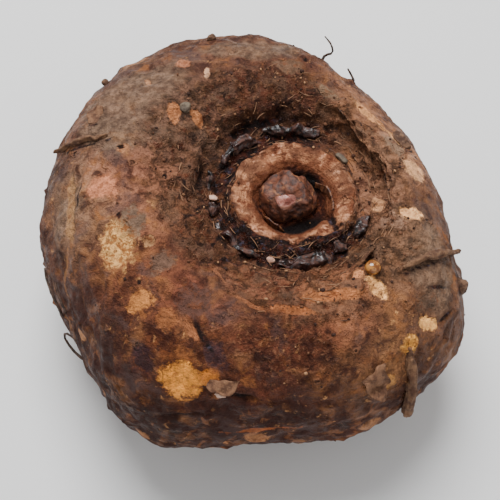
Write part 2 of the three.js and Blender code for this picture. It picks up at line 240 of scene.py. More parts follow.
# Fleshy lump on the ring, and the torn fold beside it that runs out of the hollow.
lift += 2.9 * beside(301, 25.5, 15, 4.5) + 1.1 * beside(350, 27, 16, 4.5)
fold = beside(333, 19.5, 8, 2.6) + beside(326, 23.5, 6.5, 2.6) + beside(319, 27.5, 4.5, 2.2)
lift -= 4.2 * np.clip(fold, 0, 1)
# Undercut walls behind the collar, and the long furrow on the left.
wall = beside(116, 46, 30, 3.2) + 0.8 * beside(172, 47, 13, 3) + 0.6 * beside(60, 45, 22, 3)
lift += -4.6 * np.clip(wall, 0, 1.1) + 2.2 * beside(118, 54, 32, 4) + 1.2 * beside(176, 54, 20, 3.5)
furrow = beside(210, 57, 26, 1.5) + beside(232, 62, 24, 1.3) + beside(196, 62, 18, 1.4)
lift += -1.8 * furrow + 1.0 * beside(222, 53, 30, 2.2)

# Scars: the big cut root scar on the left shoulder, and small pits and rings of old rootlets.
disc = spot(-64, -31, 126, 10.5, 14, 8)
lift += ease(1.1, 0.85, disc) * (-0.7 + 0.5 * grain(P, 2, 21)) + 0.9 * np.exp(-(((disc - 1.05) / 0.12) ** 2))
lift -= 1.3 * ease(1, 0.2, spot(-76, -26, 124, 2, 8, 8))
PITS = [
    (-65, 23, 127, 2.2), (-63, -16, 127, 2.1), (-42, 8, 126, 1.6), (-52, -52, 125, 1.5), (30, 84, 118, 1.8),
]
RINGS = [
    (-49, -31, 127, 4.2), (-68, 18, 127, 3.2), (-35, 79, 123, 4.2), (76, -76, 107, 4.6), (-20, -92, 113, 3.4),
]
SMALL_RINGS = 120
WARTS = 110
FLAKED_SPOTS = 70
chance = random.Random(11)
for _ in range(SMALL_RINGS):
    row = chance.choice(range(140, 236))
    x, y, z = P[row, chance.randrange(TURNS)]
    RINGS.append((x, y, z, chance.uniform(1.4, 3.6)))
scars = 0 * rho
for x, y, z, r in PITS:
    d = spot(x, y, z, r, r)
    lift += -1.9 * ease(1, 0.2, d) + 0.6 * np.exp(-(((d - 1.25) / 0.3) ** 2))
    scars = np.maximum(scars, ease(1.15, 0.5, d))
for x, y, z, r in RINGS:
    d = spot(x, y, z, r, r * 0.85)
    lift += (0.25 + 0.22 * r) * (np.exp(-(((d - 0.85) / 0.25) ** 2)) - 0.8 * ease(0.7, 0.1, d))
    scars = np.maximum(scars, 0.55 * ease(0.5, 0.1, d))
for _ in range(WARTS):
    x, y, z = P[chance.choice(range(140, 230)), chance.randrange(TURNS)]
    wart = chance.uniform(0.7, 1.8)
    lift += wart * ease(1.1, 0.1, spot(x, y, z, chance.uniform(1.8, 4), chance.uniform(1.8, 3.4)))
horseshoe = spot(-34, 45, 125, 7, 6.5)
lift += 1.3 * np.exp(-(((horseshoe - 1) / 0.28) ** 2)) * ease(-6, 2, 45 - P[..., 1] + 6)

# Folds where the skin has slipped down over itself: place, half sizes, tilt and height in mm.
FOLDS = [
    (-8, -101, 107, 14, 1.8, -14, 2.2), (-31, -108, 96, 11, 1.6, 12, 1.4), (-22, -76, 123, 2, 11, 30, 1.3),
    (88, -44, 108, 9, 1.4, 6, 1.2), (94, -54, 100, 7, 1.3, 20, 1.1), (-84, 2, 121, 10, 1.6, 80, 1.0),
]
shadow_under_folds = 0 * rho
for x, y, z, a, b, tilt, raised in FOLDS:
    d = spot(x, y, z, a, b, tilt)
    under = spot(x, y - 2.4, z - 1.6, a, b, tilt)
    lift += raised * (np.exp(-(d**2)) - np.exp(-(under**2)))
    # Painted shadow on the skin just under each fold.
    shadow_under_folds = np.maximum(shadow_under_folds, 0.9 * np.exp(-(under**2)))

# The skin lies flat where loose pieces rest on it, and on the ground.
offset = (Vector(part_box("corm")[0]) + Vector(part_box("corm")[1])) * 500
grid_middle = (P.reshape(-1, 3).min(0) + P.reshape(-1, 3).max(0)) / 2
MOVE = np.array([offset.x - grid_middle[0], offset.y - grid_middle[1], 0])
RESTING = [
    "stone_grey", "stone_chip", "flesh_chip_left", "flesh_chip_lower", "flesh_chip_front", "sap_bead",
    "skin_curl_right", "skin_curl_lower", "skin_curl_front", "skin_curl_upper_left",
    "root_nub_upper_left", "root_nub_top", "hair_root_top_small",
]
for name in RESTING:
    lo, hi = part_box(name)
    middle = np.array((lo + hi) * 500) - MOVE
    reach = (hi - lo).length * 500 + 2
    lift *= 1 - 0.8 * np.exp(-(((P - middle) ** 2).sum(-1)) / reach**2)
# It swells up to the foot of each hair root, and to the place where a flake or crumb still holds.
FEET = {
    "hair_root_top": 0.7, "hair_root_top_small": 0.9, "hair_root_left_long": 0.7,
    "hair_root_left_short": 0.5, "hair_root_loop": 0.7, "skin_curl_right": 1.6,
    "flesh_chip_front": 0.9, "sheath_remnant_top": 0.6,
}  # mm that the skin overlaps each foot
FOOT_REACH = 2.3
for name, overlap in FEET.items():
    vertices = np.array([v.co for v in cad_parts[name].data.vertices]) * 1000 - MOVE
    gaps = [((P - v) ** 2).sum(-1) for v in vertices]
    nearest = int(np.argmin([g.min() for g in gaps]))
    at = np.unravel_index(np.argmin(gaps[nearest]), rho.shape)
    short = (vertices[nearest] - P[at]) @ N[at] - lift[at] + overlap
    lift += max(0, short) * np.exp(-((P - P[at]) ** 2).sum(-1) / FOOT_REACH**2)
lift = np.where(P[..., 2] < 0.5, np.maximum(0, lift), lift)

SKIN = P + N * lift[..., None]
SKIN[..., 2] = np.maximum(SKIN[..., 2], 0.0)
SKIN = SKIN + MOVE

# Colours of the skin by region: place, reach, and colour as seen in daylight, with the light and shade that
# fell there painted in: lighter on the upper shoulders, darker on the lower flank.
REGIONS = [
    (-63, 55, 125, 30, (128, 100, 84)), (-43, 80, 118, 20, (106, 80, 66)), (1, 88, 121, 22, (112, 80, 64)),
    (-88, -8, 120, 18, (138, 110, 88)), (-60, 3, 127, 15, (156, 112, 90)), (-104, -20, 70, 26, (98, 67, 54)),
    # The three colours on the next line and the first on the line after it are dark partly from painted
    # shade, as the lower flank faces away from the light.
    (-72, -72, 96, 22, (72, 44, 35)), (-40, -104, 70, 30, (64, 37, 27)), (10, -108, 70, 34, (66, 36, 26)),
    (60, -96, 66, 26, (74, 44, 32)), (60, -88, 100, 13, (148, 112, 80)), (83, -32, 118, 18, (140, 110, 88)),
    (93, -52, 105, 20, (112, 82, 62)), (-44, -7, 125, 14, (136, 98, 76)), (-4, -56, 124, 15, (130, 92, 72)),
    # The first colour on the next line is dark partly from painted shadow under the crater's undercut top
    # wall.
    (10, 48, 112, 13, (60, 29, 20)), (17, 68, 120, 20, (86, 50, 38)), (62, 2, 112, 14, (168, 128, 104)),
    (16, -84, 120, 20, (108, 66, 48)), (38, -59, 124, 14, (162, 116, 88)), (-25, -60, 125, 12, (118, 76, 60)),
    (-55, -50, 124, 16, (112, 74, 54)), (-30, -84, 117, 15, (112, 70, 42)), (44, -92, 106, 14, (112, 78, 54)),
    (80, 30, 112, 18, (168, 130, 104)), (55, 62, 116, 16, (150, 112, 88)), (40, 85, 100, 20, (112, 84, 68)),
    (100, 0, 70, 40, (96, 68, 52)), (0, 118, 60, 55, (98, 70, 55)), (-90, 60, 55, 45, (94, 66, 52)),
    (0, 0, 0, 60, (74, 48, 36)), (0, -60, 2, 40, (66, 42, 32)),
]


def linear(colour):
    c = np.array(colour[:3], float) / 255
    return np.where(c <= 0.04045, c / 12.92, ((c + 0.055) / 1.055) ** 2.4)


bent = P + 6 * np.stack([grain(P, 16, 31), grain(P, 16, 32), grain(P, 16, 33)], -1)
weight = np.full(rho.shape, 0.06)
tint = weight[..., None] * linear((96, 64, 50))
for x, y, z, reach, colour in REGIONS:
    w = np.exp(-((bent - (x, y, z)) ** 2).sum(-1) / reach**2)
    weight += w
    tint = tint + w[..., None] * linear(colour)
tint /= weight[..., None]

# Patches where the corky skin has flaked off and paler flesh shows: place, half sizes, tilt, colour.
PATCHES = [
    (-64, -31, 126, 10, 13.5, 8, (196, 158, 108)), (-49, -31, 127, 3.6, 3.6, 0, (150, 118, 88)),
    (-51, -61, 124, 9, 6, 20, (176, 126, 78)), (-39, -70, 124, 7, 6, 0, (142, 98, 66)),
    (-28, -75, 124, 2.4, 8, 35, (150, 104, 74)), (-32, -95, 110, 11, 10.5, 0, (200, 142, 70)),
    (-20, -94, 112, 6, 4.5, 20, (184, 124, 62)), (-90, -8, 118, 3.5, 22, 8, (150, 118, 86)),
    (-93, -34, 102, 3, 15, -10, (142, 104, 70)), (81, -11, 119, 8, 3.6, -6, (242, 192, 142)),
    (66, -1, 110, 4.4, 6, 15, (190, 148, 114)), (61, -53, 122, 3.6, 8, 40, (234, 184, 128)),
    (52, -46, 121, 3.4, 4, 0, (222, 164, 122)), (85, 18, 115, 5.5, 8, 35, (196, 156, 120)),
    (64, 50, 117, 15, 3, -38, (190, 144, 104)), (76, 38, 114, 8, 2.6, -45, (200, 156, 112)),
    (86, -65, 107, 6, 4, -20, (226, 176, 114)), (76, -76, 107, 6, 5.6, 0, (214, 164, 94)),
    (63, -92, 97, 9, 6, 20, (168, 126, 78)), (4, -107, 76, 22, 1.6, 2, (150, 92, 54)),
    (-35, 79, 123, 4.4, 4.4, 0, (168, 120, 94)), (-23, 73, 126, 1.7, 6, 0, (184, 150, 124)),
    (-40, 46, 125, 3.6, 6.2, 20, (184, 130, 92)), (-27, 43, 125, 2.8, 6.8, 25, (180, 128, 90)),
    (-54, 67, 124, 1.6, 4.4, 20, (160, 122, 94)), (38, -58, 124, 19, 3.4, 6, (176, 122, 84)),
    (20, -66, 124, 12, 2.4, -10, (160, 108, 74)), (-64, 22, 127, 4, 3.4, 30, (166, 124, 94)),
    (0, -62, 124, 9, 1.8, -30, (150, 104, 76)), (-14, -48, 122, 8, 1.6, -50, (150, 106, 80)),
    (70, 70, 104, 8, 4, -40, (170, 128, 96)), (-60, 88, 100, 9, 6, 30, (150, 116, 90)),
    (100, 40, 70, 12, 8, 0, (150, 112, 80)), (20, 122, 66, 14, 9, 0, (146, 108, 78)),
    (-50, 108, 58, 10, 12, 0, (156, 114, 78)), (-104, 20, 62, 8, 14, 0, (150, 108, 72)),
    (96, -60, 50, 10, 8, 0, (140, 96, 62)), (30, 40, 0, 18, 12, 20, (120, 84, 58)),
]
PATCHES += [
    (-57, -20, 127, 7, 11, 10, (116, 98, 84)), (-43, -42, 127, 8, 7, 30, (104, 84, 72)),
    (-51, -87, 113, 7, 8, 0, (60, 38, 42)), (-16, -87, 119, 6, 10, 15, (72, 50, 52)),
    (-27, -62, 125, 9, 10, -20, (92, 68, 60)), (42, 61, 122, 9, 4, -30, (122, 102, 84)),
    (20, 78, 118, 10, 5, -10, (108, 86, 70)), (74, 30, 113, 6, 9, 35, (138, 116, 98)),
    (-85, 56, 113, 8, 8, 0, (118, 98, 84)), (86, -55, 112, 8, 6, 20, (98, 78, 64)),
    (-74, 0, 126, 9, 8, 0, (178, 124, 96)), (70, -14, 118, 6, 7, 10, (150, 122, 104)),
]
for _ in range(FLAKED_SPOTS):
    x, y, z = P[chance.choice(range(150, 240)), chance.randrange(TURNS)]
    warm = chance.uniform(0.75, 1.1)
    size = chance.uniform(2, 8), chance.uniform(2, 6), chance.uniform(-60, 60)
    PATCHES.append((x, y, z, *size, (172 * warm, 128 * warm, 92 * warm)))
pale = 0 * rho - 1
pale_weight = 1e-4 + 0 * rho
pale_tint = pale_weight[..., None] * linear((170, 125, 90))
for x, y, z, a, b, tilt, colour in PATCHES:
    d = spot(x, y, z, a, b, tilt)
    pale = np.maximum(pale, 1 - d)
    w = np.exp(-4 * d**2)
    pale_weight += w
    pale_tint = pale_tint + w[..., None] * linear(colour)
pale_tint /= pale_weight[..., None]

# Where the skin is blackened or in deep shade, with the shade painted in: the blackened collar, and painted
# shade in the undercuts, folds, pits, furrows and the middle of the cavity, and painted shadow on the skin
# just below the roots, offsets and curls that lie on it.
shade = np.clip(wall, 0, 1) * 0.8 + np.clip(fold, 0, 1) * 0.85 + 0.5 * ease(16, 11, rho) * top
shade = np.clip(shade + 0.95 * blackened + scars, 0, 1)
shade = np.maximum(shade, 0.45 * np.clip(furrow, 0, 1))
SHADING = [
    "root_left", "root_right", "root_lower", "cormel_right", "cormel_upper_right",
    "skin_curl_right", "skin_curl_lower", "skin_curl_front", "skin_curl_upper_left",
]
SHADE_REACH = 6
for name in SHADING:
    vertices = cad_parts[name].data.vertices
    tree = KDTree(len(vertices))
    for k, v in enumerate(vertices):
        tree.insert(v.co * 1000, k)
    tree.balance()
    lo, hi = (np.array(c) * 1000 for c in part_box(name))
    near = np.all((SKIN > lo - SHADE_REACH) & (SKIN < hi + SHADE_REACH), axis=-1)
    found = [tree.find(Vector(q)) for q in SKIN[near]]
    gap = np.array([f[2] for f in found])
    # Painted shadow falls only on the side of each piece away from the light.
    below = np.clip(0.25 + np.array([f[0].y for f in found]) - SKIN[near][:, 1], 0, 1.5) / 1.5
    dark = 0.8 * below * ease(3.8, 1, gap + 0.8 * grain(SKIN[near], 4, 44))
    shade[near] = np.maximum(shade[near], dark)
# Painted shadow under the folds, and painted shade in the crevices between the pleats of the curtain.
shade = np.maximum(shade, np.maximum(shadow_under_folds, 0.7 * curtain * ease(0.12, 0.03, np.abs(pleats))))
grit = np.maximum(coarse, 0.8 * funnel)
pitted = np.maximum(ease(1.1, 0.8, disc), 0.8 * ease(1.1, 0.8, spot(76, -76, 107, 6, 5.6)))
# Where the grey film lies on the upper shoulders, partly painted sheen of the light from above.
film = ease(1.3, 0.4, spot(-60, 50, 125, 42, 36, 30)) + ease(1.2, 0.3, spot(88, -35, 115, 20, 40, 20))
film += 0.8 * ease(1.2, 0.3, spot(0, 92, 118, 40, 14, 0))
film += 0.7 * ease(1.2, 0.3, spot(-92, -5, 115, 16, 30, 0))
film = np.clip(film, 0, 1)
rows = len(shares)
corm_mesh = bpy.data.meshes.new("corm_skin")
points = np.concatenate([SKIN[:1, 0], SKIN[1:-1].reshape(-1, 3), SKIN[-1:, 0]]) / 1000
faces = []
for j in range(TURNS):
    k = (j + 1) % TURNS
    faces.append((0, 1 + j, 1 + k))
    for i in range(rows - 3):
        a, b = 1 + i * TURNS, 1 + (i + 1) * TURNS
        faces.append((a + j, b + j, b + k, a + k))
    a = 1 + (rows - 3) * TURNS
    faces.append((a + j, len(points) - 1, a + k))
corm_mesh.from_pydata(points.tolist(), [], faces)
corm_mesh.polygons.foreach_set("use_smooth", [True] * len(faces))


def per_point(mesh, name, values, kind="FLOAT"):
    """Stores a value or a colour on every point of a mesh."""
    layer = mesh.attributes.new(name, kind, "POINT")
    if kind == "FLOAT":
        layer.data.foreach_set("value", np.asarray(values, np.float32).ravel())
    elif kind == "FLOAT_VECTOR":
        layer.data.foreach_set("vector", np.asarray(values, np.float32).ravel())
    else:
        four = np.concatenate([values, np.ones(values.shape[:-1] + (1,))], -1)
        layer.data.foreach_set("color", np.asarray(four, np.float32).ravel())


def from_grid(values):
    return np.concatenate([values[:1, 0], values[1:-1].reshape((-1,) + values.shape[2:]), values[-1:, 0]])


BY_POINT = {
    "pale": pale, "shade": shade, "grit": grit, "film": film, "cavity": cavity, "funnel": funnel,
    "pitted": pitted, "black": blackened, "slope": slope,
    "ring": top * ease(16.5, 21, ragged) * ease(2.4, -2.2, from_scar),
    # Where painted deep shade lies in the hollow round the bud.
    "hollow": beside(288, 14, 55, 7) + 0.7 * beside(60, 17, 40, 3),
}
for name, values in BY_POINT.items():
    per_point(corm_mesh, name, from_grid(values))
per_point(corm_mesh, "tint", from_grid(tint), "FLOAT_COLOR")
per_point(corm_mesh, "pale_tint", from_grid(pale_tint), "FLOAT_COLOR")
per_point(corm_mesh, "fibre", from_grid(fibre), "FLOAT_VECTOR")
corm = bpy.data.objects.new("corm_grown", corm_mesh)
bpy.context.scene.collection.objects.link(corm)


class Value:
    """A shader value that can be used in ordinary sums."""

    def __init__(self, tree, socket):
        self.tree = tree
        self.socket = socket

    def sum(self, kind, first, second):
        node = self.tree.nodes.new("ShaderNodeMath")
        node.operation = kind
        for k, v in enumerate((first, second)):
            if isinstance(v, Value):
                self.tree.links.new(v.socket, node.inputs[k])
            else:
                node.inputs[k].default_value = v
        return Value(self.tree, node.outputs[0])

    def __add__(self, other):
        return self.sum("ADD", self, other)

    def __radd__(self, other):
        return self.sum("ADD", other, self)

    def __sub__(self, other):
        return self.sum("SUBTRACT", self, other)

    def __rsub__(self, other):
        return self.sum("SUBTRACT", other, self)

    def __mul__(self, other):
        return self.sum("MULTIPLY", self, other)

    def __rmul__(self, other):
        return self.sum("MULTIPLY", other, self)

    def __truediv__(self, other):
        return self.sum("DIVIDE", self, other)

    def __rtruediv__(self, other):
        return self.sum("DIVIDE", other, self)

    def __pow__(self, other):
        return self.sum("POWER", self, other)

    def __rpow__(self, other):
        return self.sum("POWER", other, self)


class Finish:
    """A material under construction."""

    def __init__(self, name):
        self.material = bpy.data.materials.new(name)
        self.material.use_nodes = True
        self.tree = self.material.node_tree
        self.surface = self.tree.nodes["Principled BSDF"]
        self.place = self.node("ShaderNodeTexCoord", {}, {}, "Object")

    def node(self, kind, settings, inputs, result=0):
        node = self.tree.nodes.new(kind)
        for key, setting in settings.items():
            setattr(node, key, setting)
        for key, value in inputs.items():
            self.put(node.inputs[key], value)
        return Value(self.tree, node.outputs[result])

    def put(self, socket, value):
        if isinstance(value, Value):
            self.tree.links.new(value.socket, socket)
        else:
            socket.default_value = value

    def noise(self, size, detail=3.0, place=None, rough=0.55, twist=0.0):
        """Cloudy values round 0.5, lumps about size millimetres across."""
        inputs = {"Vector": place or self.place, "Scale": 1000 / size, "Detail": detail}
        inputs.update({"Roughness": rough, "Distortion": twist})
        return self.node("ShaderNodeTexNoise", {}, inputs, 0)

    def cells(self, size, result="Distance", place=None):
        inputs = {"Vector": place or self.place, "Scale": 1000 / size}
        return self.node("ShaderNodeTexVoronoi", {}, inputs, result)

    def step(self, value, low, high):
        """0 below low and 1 above high, smoothly."""
        inputs = {"Value": value, "From Min": low, "From Max": high}
        return self.node("ShaderNodeMapRange", {"interpolation_type": "SMOOTHSTEP"}, inputs, 0)

    def clouds(self, low, high, size, detail=5.0, rough=0.55, twist=0.0):
        """Ragged patches about size millimetres across: 0 below low and 1 above high."""
        return self.step(self.noise(size, detail, None, rough, twist), low, high)

    def stretched(self, vector, by):
        return self.node("ShaderNodeVectorMath", {"operation": "MULTIPLY"}, {0: vector, 1: by}, 0)

    def scaled(self, colour, amount):
        return self.node("ShaderNodeVectorMath", {"operation": "SCALE"}, {0: colour, "Scale": amount}, 0)

    def blend(self, factor, first, second, kind="MIX"):
        settings = {"data_type": "RGBA", "blend_type": kind}
        return self.node("ShaderNodeMix", settings, {0: factor, 6: first, 7: second}, 2)

    def stored(self, name, result="Fac"):
        return self.node("ShaderNodeAttribute", {"attribute_name": name}, {}, result)

    def relief(self, height, distance, strength=1.0):
        """Fine relief, distance in millimetres."""
        inputs = {"Height": height, "Distance": distance / 1000, "Strength": strength}
        self.put(self.surface.inputs["Normal"], self.node("ShaderNodeBump", {}, inputs, 0))

    def finish(self, colour, roughness, **constants):
        self.put(self.surface.inputs["Base Color"], colour)
        self.put(self.surface.inputs["Roughness"], roughness)
        for key, value in constants.items():
            self.surface.inputs[key.replace("_", " ")].default_value = value
        return self.material


def rgb(*colour):
    return (*[float(c) for c in linear(colour)], 1.0)


m = Finish("corm_skin")
cloud, mottle, speck = m.noise(17, 4), m.noise(4.5, 5, rough=0.68), m.noise(1.3, 3, rough=0.7)
patchy = m.noise(9, 5, rough=0.62, twist=0.5)
strand = m.noise(620, 4, m.stretched(m.stored("fibre", "Vector"), (1, 0.22, 1)), rough=0.6)

# Corky skin: the tint of its region, with dark, worn and rusty patches.
colour = m.scaled(m.stored("tint", "Color"), 1.5 * cloud + 1.9 * mottle + 0.9 * speck - 1.15)
colour = m.blend(0.75 * m.step(patchy, 0.52, 0.64), colour, rgb(58, 29, 21))
colour = m.blend(0.6 * m.step(patchy, 0.45, 0.34), colour, rgb(152, 104, 66))
colour = m.blend(0.4 * m.clouds(0.5, 0.62, 15, 5, 0.6, 0.4), colour, rgb(76, 50, 44))

# Eyes of old rootlets, each a dark dot in a paler rim, outside the funnel.
EYE_SPACING = 12
drift = m.node("ShaderNodeTexNoise", {}, {"Vector": m.place, "Scale": 250}, "Color")
wobble = {0: drift, 1: (0.008, 0.008, 0.008), 2: m.place}
wobble = m.node("ShaderNodeVectorMath", {"operation": "MULTIPLY_ADD"}, wobble, 0)
from_eye = m.cells(EYE_SPACING, "Distance", wobble)
chosen = m.step(m.cells(EYE_SPACING, "Color", wobble), 0.52, 0.56) * (1 - 0.8 * m.stored("funnel"))
rim = chosen * m.step(from_eye, 0.26, 0.17) * m.step(from_eye, 0.08, 0.15)
eye = chosen * m.step(from_eye, 0.12, 0.04)
colour = m.blend(0.3 * rim, colour, rgb(168, 126, 98))
colour = m.blend(0.85 * eye, colour, rgb(44, 22, 16))
colour = m.blend(0.45 * m.clouds(0.5, 0.68, 14, 6, 0.6, 0.4), colour, rgb(160, 116, 78))
flecks = m.clouds(0.58, 0.7, 5, 6, 0.68, 0.4) * m.clouds(0.45, 0.6, 24, 3)
colour = m.blend(0.65 * flecks, colour, rgb(208, 162, 114))
colour = m.blend(0.55 * m.clouds(0.54, 0.66, 11, 5, 0.62, 0.6), colour, rgb(66, 34, 25))
colour = m.blend(0.5 * m.clouds(0.54, 0.64, 19, 5, 0.58, 0.5), colour, rgb(92, 76, 74))

# A grey-brown film on the shoulders, partly painted sheen of the light from above, and crumbly soil in the
# funnel.
film_and_sheen_mask = m.step(m.stored("film") + 1.1 * (m.noise(8, 5, rough=0.6) - 0.5), 0.25, 0.75)
film_and_sheen = m.blend(m.step(mottle, 0.4, 0.62), rgb(98, 82, 70), rgb(140, 120, 102))
colour = m.blend(0.6 * film_and_sheen_mask, colour, film_and_sheen)
crumble = m.clouds(0.4, 0.6, 5.5, 6, 0.7, 0.3)
soil = m.scaled(m.stored("tint", "Color"), 0.26 + 1.05 * crumble)
soil = m.blend(0.45 * m.clouds(0.44, 0.6, 8, 6, 0.64, 0.4), soil, rgb(98, 70, 46))
soil = m.blend(0.5 * m.clouds(0.5, 0.62, 11, 5, 0.6), soil, rgb(112, 94, 80))
soil = m.blend(0.65 * m.clouds(0.56, 0.68, 7, 5, 0.65), soil, rgb(92, 44, 28))
colour = m.blend(0.85 * m.stored("funnel"), colour, soil)

# The stalk's scar: pale fibrous flesh, browned in patches, with painted shade darkening its inner slope.
ring_mask = m.step(m.stored("ring") + 1.1 * (m.noise(5, 5, rough=0.65) - 0.5), 0.3, 0.75)
flesh = m.blend(m.clouds(0.38, 0.64, 7, 5, 0.65, 0.6), rgb(124, 82, 60), rgb(194, 148, 116))
flesh = m.blend(0.45 * m.step(strand, 0.45, 0.62), flesh, rgb(150, 108, 82))
flesh = m.blend(0.85 * m.clouds(0.52, 0.64, 5, 5, 0.68), flesh, rgb(98, 54, 36))
flesh = m.blend(0.7 * m.clouds(0.46, 0.58, 12, 6, 0.62, 0.5), flesh, rgb(104, 72, 56))
flesh = m.blend(0.6 * m.clouds(0.56, 0.68, 6.5, 5, 0.65), flesh, rgb(218, 172, 144))
inner_slope_shade = m.step(m.stored("slope") + 0.5 * (mottle - 0.5), 0.1, 0.9)
# Painted shade on the inner slope down into the cavity.
flesh = m.blend(0.8 * inner_slope_shade, flesh, rgb(104, 62, 40))
colour = m.blend(ring_mask, colour, flesh)

# Bare flesh where the skin has flaked off, with ragged edges; pitted on the cut root scars.
fray = (1.9 - 1.3 * m.stored("pitted")) * (m.noise(7, 6, rough=0.66, twist=0.5) - 0.5)
pale_mask = m.step(m.stored("pale") + fray + 0.5 * (speck - 0.5), -0.05, 0.3)
bare = m.scaled(m.stored("pale_tint", "Color"), 2.1 * mottle + 0.6 * speck - 0.28)
bare = m.blend(0.55 * m.clouds(0.5, 0.64, 4, 5, 0.66), bare, rgb(124, 78, 50))
bare = m.blend(0.75 * m.stored("pitted") * m.clouds(0.47, 0.56, 2.2, 4, 0.65), bare, rgb(140, 90, 48))
colour = m.blend(0.9 * pale_mask, colour, bare)

# Grit, then the blackened collar and the painted shade, then the moist hollow round the bud with painted deep
# shade in it.
grit_mask = m.stored("grit")
grains = m.noise(2.6, 5, rough=0.72, twist=0.2)
colour = m.blend(0.42 * grit_mask * m.step(grains, 0.53, 0.63), colour, rgb(160, 122, 94))
colour = m.blend(0.5 * m.clouds(0.6, 0.72, 1.2, 3), colour, rgb(38, 19, 13))
char_and_shade = m.blend(m.clouds(0.4, 0.54, 4.5, 5, 0.65), rgb(78, 44, 34), rgb(30, 18, 18))
# Bluish-grey flecks of painted sheen.
char_and_shade = m.blend(0.6 * m.clouds(0.58, 0.68, 3, 4), char_and_shade, rgb(84, 82, 98))
# The shade mask lays this colour on the blackened collar and on the painted shade and shadows.
colour = m.blend(0.92 * m.step(m.stored("shade") + mottle - 0.5, 0.3, 0.75), colour, char_and_shade)
wet_and_shaded = m.blend(m.step(mottle, 0.42, 0.6), rgb(62, 29, 19), rgb(116, 70, 46))
# Near-black painted shade in the hollow round the bud.
wet_and_shaded = m.blend(m.step(m.stored("hollow") + 0.6 * (mottle - 0.5), 0.2, 0.6), wet_and_shaded, rgb(24, 10, 8))
colour = m.blend(m.step(m.stored("cavity"), 0.2, 0.8), colour, wet_and_shaded)
colour = m.node("ShaderNodeGamma", {}, {"Color": colour, "Gamma": 1.3}, 0)
colour = m.node("ShaderNodeHueSaturation", {}, {"Color": colour, "Value": 1.86}, 0)

height = 0.9 * mottle + 0.6 * speck + 0.3 * m.noise(0.7, 3) + 1.5 * grit_mask * grains
height = height + 0.4 * ring_mask * strand - 0.3 * pale_mask + 0.5 * rim - 0.8 * eye
m.relief(height, 2.8, 1.0)
gloss = 0.36 * m.clouds(0.42, 0.62, 7, 5, 0.6) + 0.3 * m.step(m.stored("black"), 0.4, 0.8)
corm_mesh.materials.append(m.finish(colour, 0.82 - gloss, Specular_IOR_Level=0.22))
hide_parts("corm")
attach(corm, "root")

# ---------------------------------------------------------------------------------------------
# Next season's bud. A blunt reddish dome on the crater's floor, wrapped in tight skins, with a
# moist pink tip that leans out at the front. It grows from the corm's growing point.
# ---------------------------------------------------------------------------------------------


def weathered(node, voxel, material, swell=0.3, rough=(), smooth=4, shape=None, warp=0):
    """A finely meshed, uneven piece grown from a modelled piece; sizes in millimetres."""
    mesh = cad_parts[node].data.copy()
    mesh.materials.clear()
    work = bmesh.new()
    work.from_mesh(mesh)
    bmesh.ops.remove_doubles(work, verts=work.verts, dist=1e-6)
    work.to_mesh(mesh)
    work.free()
    rough_piece = bpy.data.objects.new(node + "_rough", mesh)
    bpy.context.scene.collection.objects.link(rough_piece)
    thick = rough_piece.modifiers.new("swell", "DISPLACE")
    thick.strength = swell / 1000
    thick.mid_level = 0
    cells = rough_piece.modifiers.new("cells", "REMESH")
    cells.mode = "VOXEL"
    cells.voxel_size = voxel / 1000
    cells.use_smooth_shade = True
    soft = rough_piece.modifiers.new("soft", "SMOOTH")
    soft.factor = 0.5
    soft.iterations = smooth
    graph = bpy.context.evaluated_depsgraph_get()
    done = bpy.data.meshes.new_from_object(rough_piece.evaluated_get(graph))
    bpy.data.objects.remove(rough_piece)
    count = len(done.vertices)
    co, no = np.zeros(count * 3), np.zeros(count * 3)
    done.vertices.foreach_get("co", co)
    done.vertices.foreach_get("normal", no)
    co, no = co.reshape(-1, 3) * 1000, no.reshape(-1, 3)
    move = np.zeros(count)
    for k, (size, amount) in enumerate(rough):
        move += amount * grain(co, size, 40 + k)
    if shape:
        move += shape(co, done)
    co = co + warp * np.stack([grain(co, 7, 50 + k) for k in range(3)], -1)
    done.vertices.foreach_set("co", ((co + no * move[:, None]) / 1000).ravel())
    done.update()
    done.name = node + "_grown"
    done.materials.append(material)
    piece = bpy.data.objects.new(node + "_grown", done)
    bpy.context.scene.collection.objects.link(piece)
    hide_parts(node)
    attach(piece, "root")
    return piece


bud_tip = np.array([CRATER[0] - 3, CRATER[1] + 0.2, 105.5]) + MOVE


def bud_shape(co, mesh):
    away = np.linalg.norm((co - bud_tip) / np.array([5.4, 3.2, 4.2]), axis=1)
    pink = ease(1.15, 0.7, away)
    per_point(mesh, "pink", pink)
    folds = 0.3 - np.abs(grain(co * np.array([1, 0.8, 0.6]), 9, 61))
    lumps = 1.6 * grain(co, 11, 62) + 0.8 * grain(co, 4, 63) + 0.3 * grain(co, 1.8, 64)
    return (3.2 * folds + lumps + 0.6) * (1 - pink) + 0.6 * pink


m = Finish("bud_skin")
mottle, streak = m.noise(3.2, 5, rough=0.65), m.noise(1.2, 3)
colour = m.blend(m.step(mottle, 0.36, 0.64), rgb(52, 24, 16), rgb(112, 62, 40))
colour = m.blend(0.7 * m.step(m.noise(5, 4, twist=0.8), 0.56, 0.68), colour, rgb(160, 104, 66))
colour = m.blend(0.35 * m.step(streak, 0.6, 0.75), colour, rgb(128, 96, 74))
pink = m.step(m.stored("pink") + 0.4 * (mottle - 0.5), 0.25, 0.7)
colour = m.blend(pink, colour, m.blend(m.step(mottle, 0.4, 0.6), rgb(132, 70, 58), rgb(186, 124, 108)))
m.relief(mottle + 0.5 * streak, 0.8, 0.9)
bud_skin = m.finish(colour, 0.62 - 0.44 * pink, Specular_IOR_Level=0.6)
weathered("apical_bud", 0.45, bud_skin, 0.4, [], 10, bud_shape, 1.6)

# ---------------------------------------------------------------------------------------------
# Scale leaves of the bud. Thin brown papery scales that stand against the wall of the hollow and
# overlap the bud; the right one runs out along the torn fold in the ring.
# ---------------------------------------------------------------------------------------------

